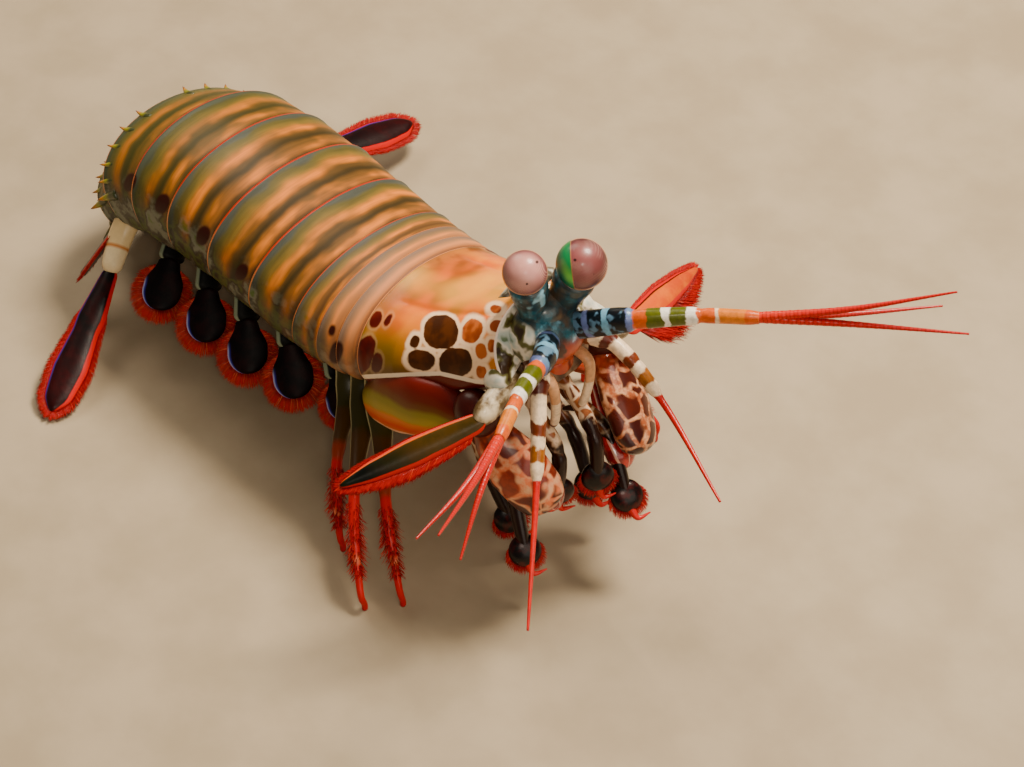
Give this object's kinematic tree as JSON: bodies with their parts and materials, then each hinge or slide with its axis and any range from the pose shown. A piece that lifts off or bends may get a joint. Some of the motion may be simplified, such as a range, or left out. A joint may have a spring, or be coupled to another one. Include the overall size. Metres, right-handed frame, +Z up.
{
  "type": "mantis shrimp",
  "caption": "Still life-size mantis shrimp with raised front, stalked eyes, folded striking claws, fringed scales and tail curled under.",
  "frame": {"origin": "on the floor, under the middle of the bounding box", "axes": "+X towards the animal's head, +Y to its left, +Z up from the floor"},
  "size_m": [0.1382, 0.0858, 0.0576],
  "materials": {
    "tergite": "smooth thin shell, semi-gloss, olive with orange bands",
    "shield": "smooth thin shell, semi-gloss, orange to olive with a cream net and brown spots",
    "underside": "leathery, semi-matt",
    "head_skin": "smooth shell, semi-gloss, dark teal with blue sheen",
    "cornea": "glossy, smooth facetted eye with a fine banded sheen",
    "feeler": "smooth shell, teal and green with white and orange rings, red whips",
    "banded_feeler": "smooth shell, white and brown rings, red whip",
    "scale": "thin blade, dark green with an orange and red rim and a fringe of red bristles",
    "claw_arm": "smooth thick shell, glossy, orange and green",
    "claw_palm": "smooth thick shell, glossy, cream with brown polygons",
    "claw_finger": "hard polished shell, red",
    "mouth_limb": "smooth shell, mottled white and brown, red bristles",
    "leg": "smooth shell, olive bases, red ends with bristles",
    "swimmeret": "thin soft blade, black with violet rim and red fringe",
    "tail_base": "smooth shell, cream with orange edges",
    "tail_paddle": "thin blade, black to dark red with a bright red fringe"
  },
  "bodies": {
    "root": {"thorax_6": "tergite", "thorax_7": "tergite", "thorax_8": "tergite", "abdomen_1": "tergite", "abdomen_2": "tergite", "abdomen_3": "tergite", "abdomen_4": "tergite", "abdomen_5": "tergite", "abdomen_6": "tergite", "telson": "tergite", "carapace": "shield", "rostral_plate": "shield", "thorax_front": "underside", "head": "head_skin", "eyestalk_right": "head_skin", "eyestalk_left": "head_skin", "cornea_right": "cornea", "cornea_left": "cornea", "antennule_right": "feeler", "antennule_left": "feeler", "antenna_right": "banded_feeler", "antenna_left": "banded_feeler", "antennal_scale_right": "scale", "antennal_scale_left": "scale", "raptorial_merus_right": "claw_arm", "raptorial_merus_left": "claw_arm", "raptorial_carpus_right": "claw_arm", "raptorial_carpus_left": "claw_arm", "raptorial_propodus_right": "claw_palm", "raptorial_propodus_left": "claw_palm", "raptorial_dactyl_right": "claw_finger", "raptorial_dactyl_left": "claw_finger", "maxilliped_1_right": "mouth_limb", "maxilliped_1_left": "mouth_limb", "maxilliped_3_right": "mouth_limb", "maxilliped_3_left": "mouth_limb", "maxilliped_4_right": "mouth_limb", "maxilliped_4_left": "mouth_limb", "maxilliped_5_right": "mouth_limb", "maxilliped_5_left": "mouth_limb", "walking_leg_1_right": "leg", "walking_leg_1_left": "leg", "walking_leg_2_right": "leg", "walking_leg_2_left": "leg", "walking_leg_3_right": "leg", "walking_leg_3_left": "leg", "pleopod_1_right": "swimmeret", "pleopod_1_left": "swimmeret", "pleopod_2_right": "swimmeret", "pleopod_2_left": "swimmeret", "pleopod_3_right": "swimmeret", "pleopod_3_left": "swimmeret", "pleopod_4_right": "swimmeret", "pleopod_4_left": "swimmeret", "pleopod_5_right": "swimmeret", "pleopod_5_left": "swimmeret", "uropod_right": "tail_base", "uropod_left": "tail_base", "uropod_exopod_right": "tail_paddle", "uropod_exopod_left": "tail_paddle"}
  },
  "joints": []
}
